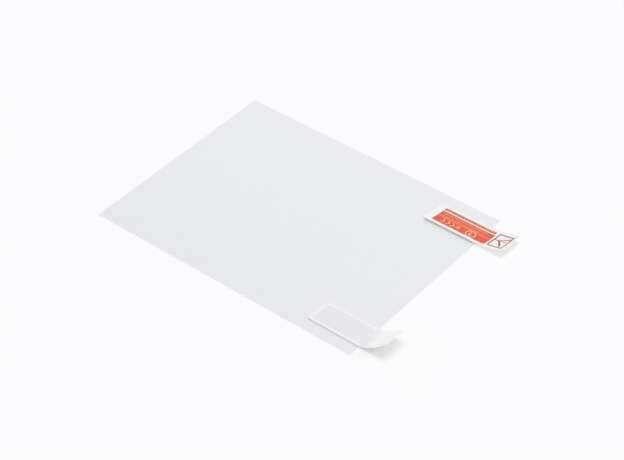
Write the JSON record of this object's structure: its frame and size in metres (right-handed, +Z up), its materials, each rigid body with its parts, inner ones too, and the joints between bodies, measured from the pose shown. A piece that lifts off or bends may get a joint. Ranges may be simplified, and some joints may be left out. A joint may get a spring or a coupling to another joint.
{
  "type": "screen protector",
  "caption": "Flat rectangular screen film between a top liner and a bottom mask, with a pull tab stuck on top and another underneath, both curling up past one short edge.",
  "frame": {"origin": "middle of the rectangular sheet's underside, in the plane it rests on", "axes": "+X along the sheet's long side towards the pull tabs, +Y along its short side towards the upper tab, +Z up through the layers"},
  "size_m": [0.1172, 0.08, 0.0062],
  "materials": {
    "mask": "clear carrier film with a faint grey-blue tint",
    "film": "clear polyester film with a faint grey-blue tint, even sheen",
    "liner": "thin translucent liner, fine matte",
    "upper_tab": "white coated label with an orange printed panel",
    "lower_tab": "plain white label, its printed side down"
  },
  "bodies": {
    "root": {"bottom_mask": "mask", "protector_film": "film", "top_liner": "liner", "upper_pull_tab": "upper_tab", "lower_pull_tab": "lower_tab"}
  },
  "joints": []
}
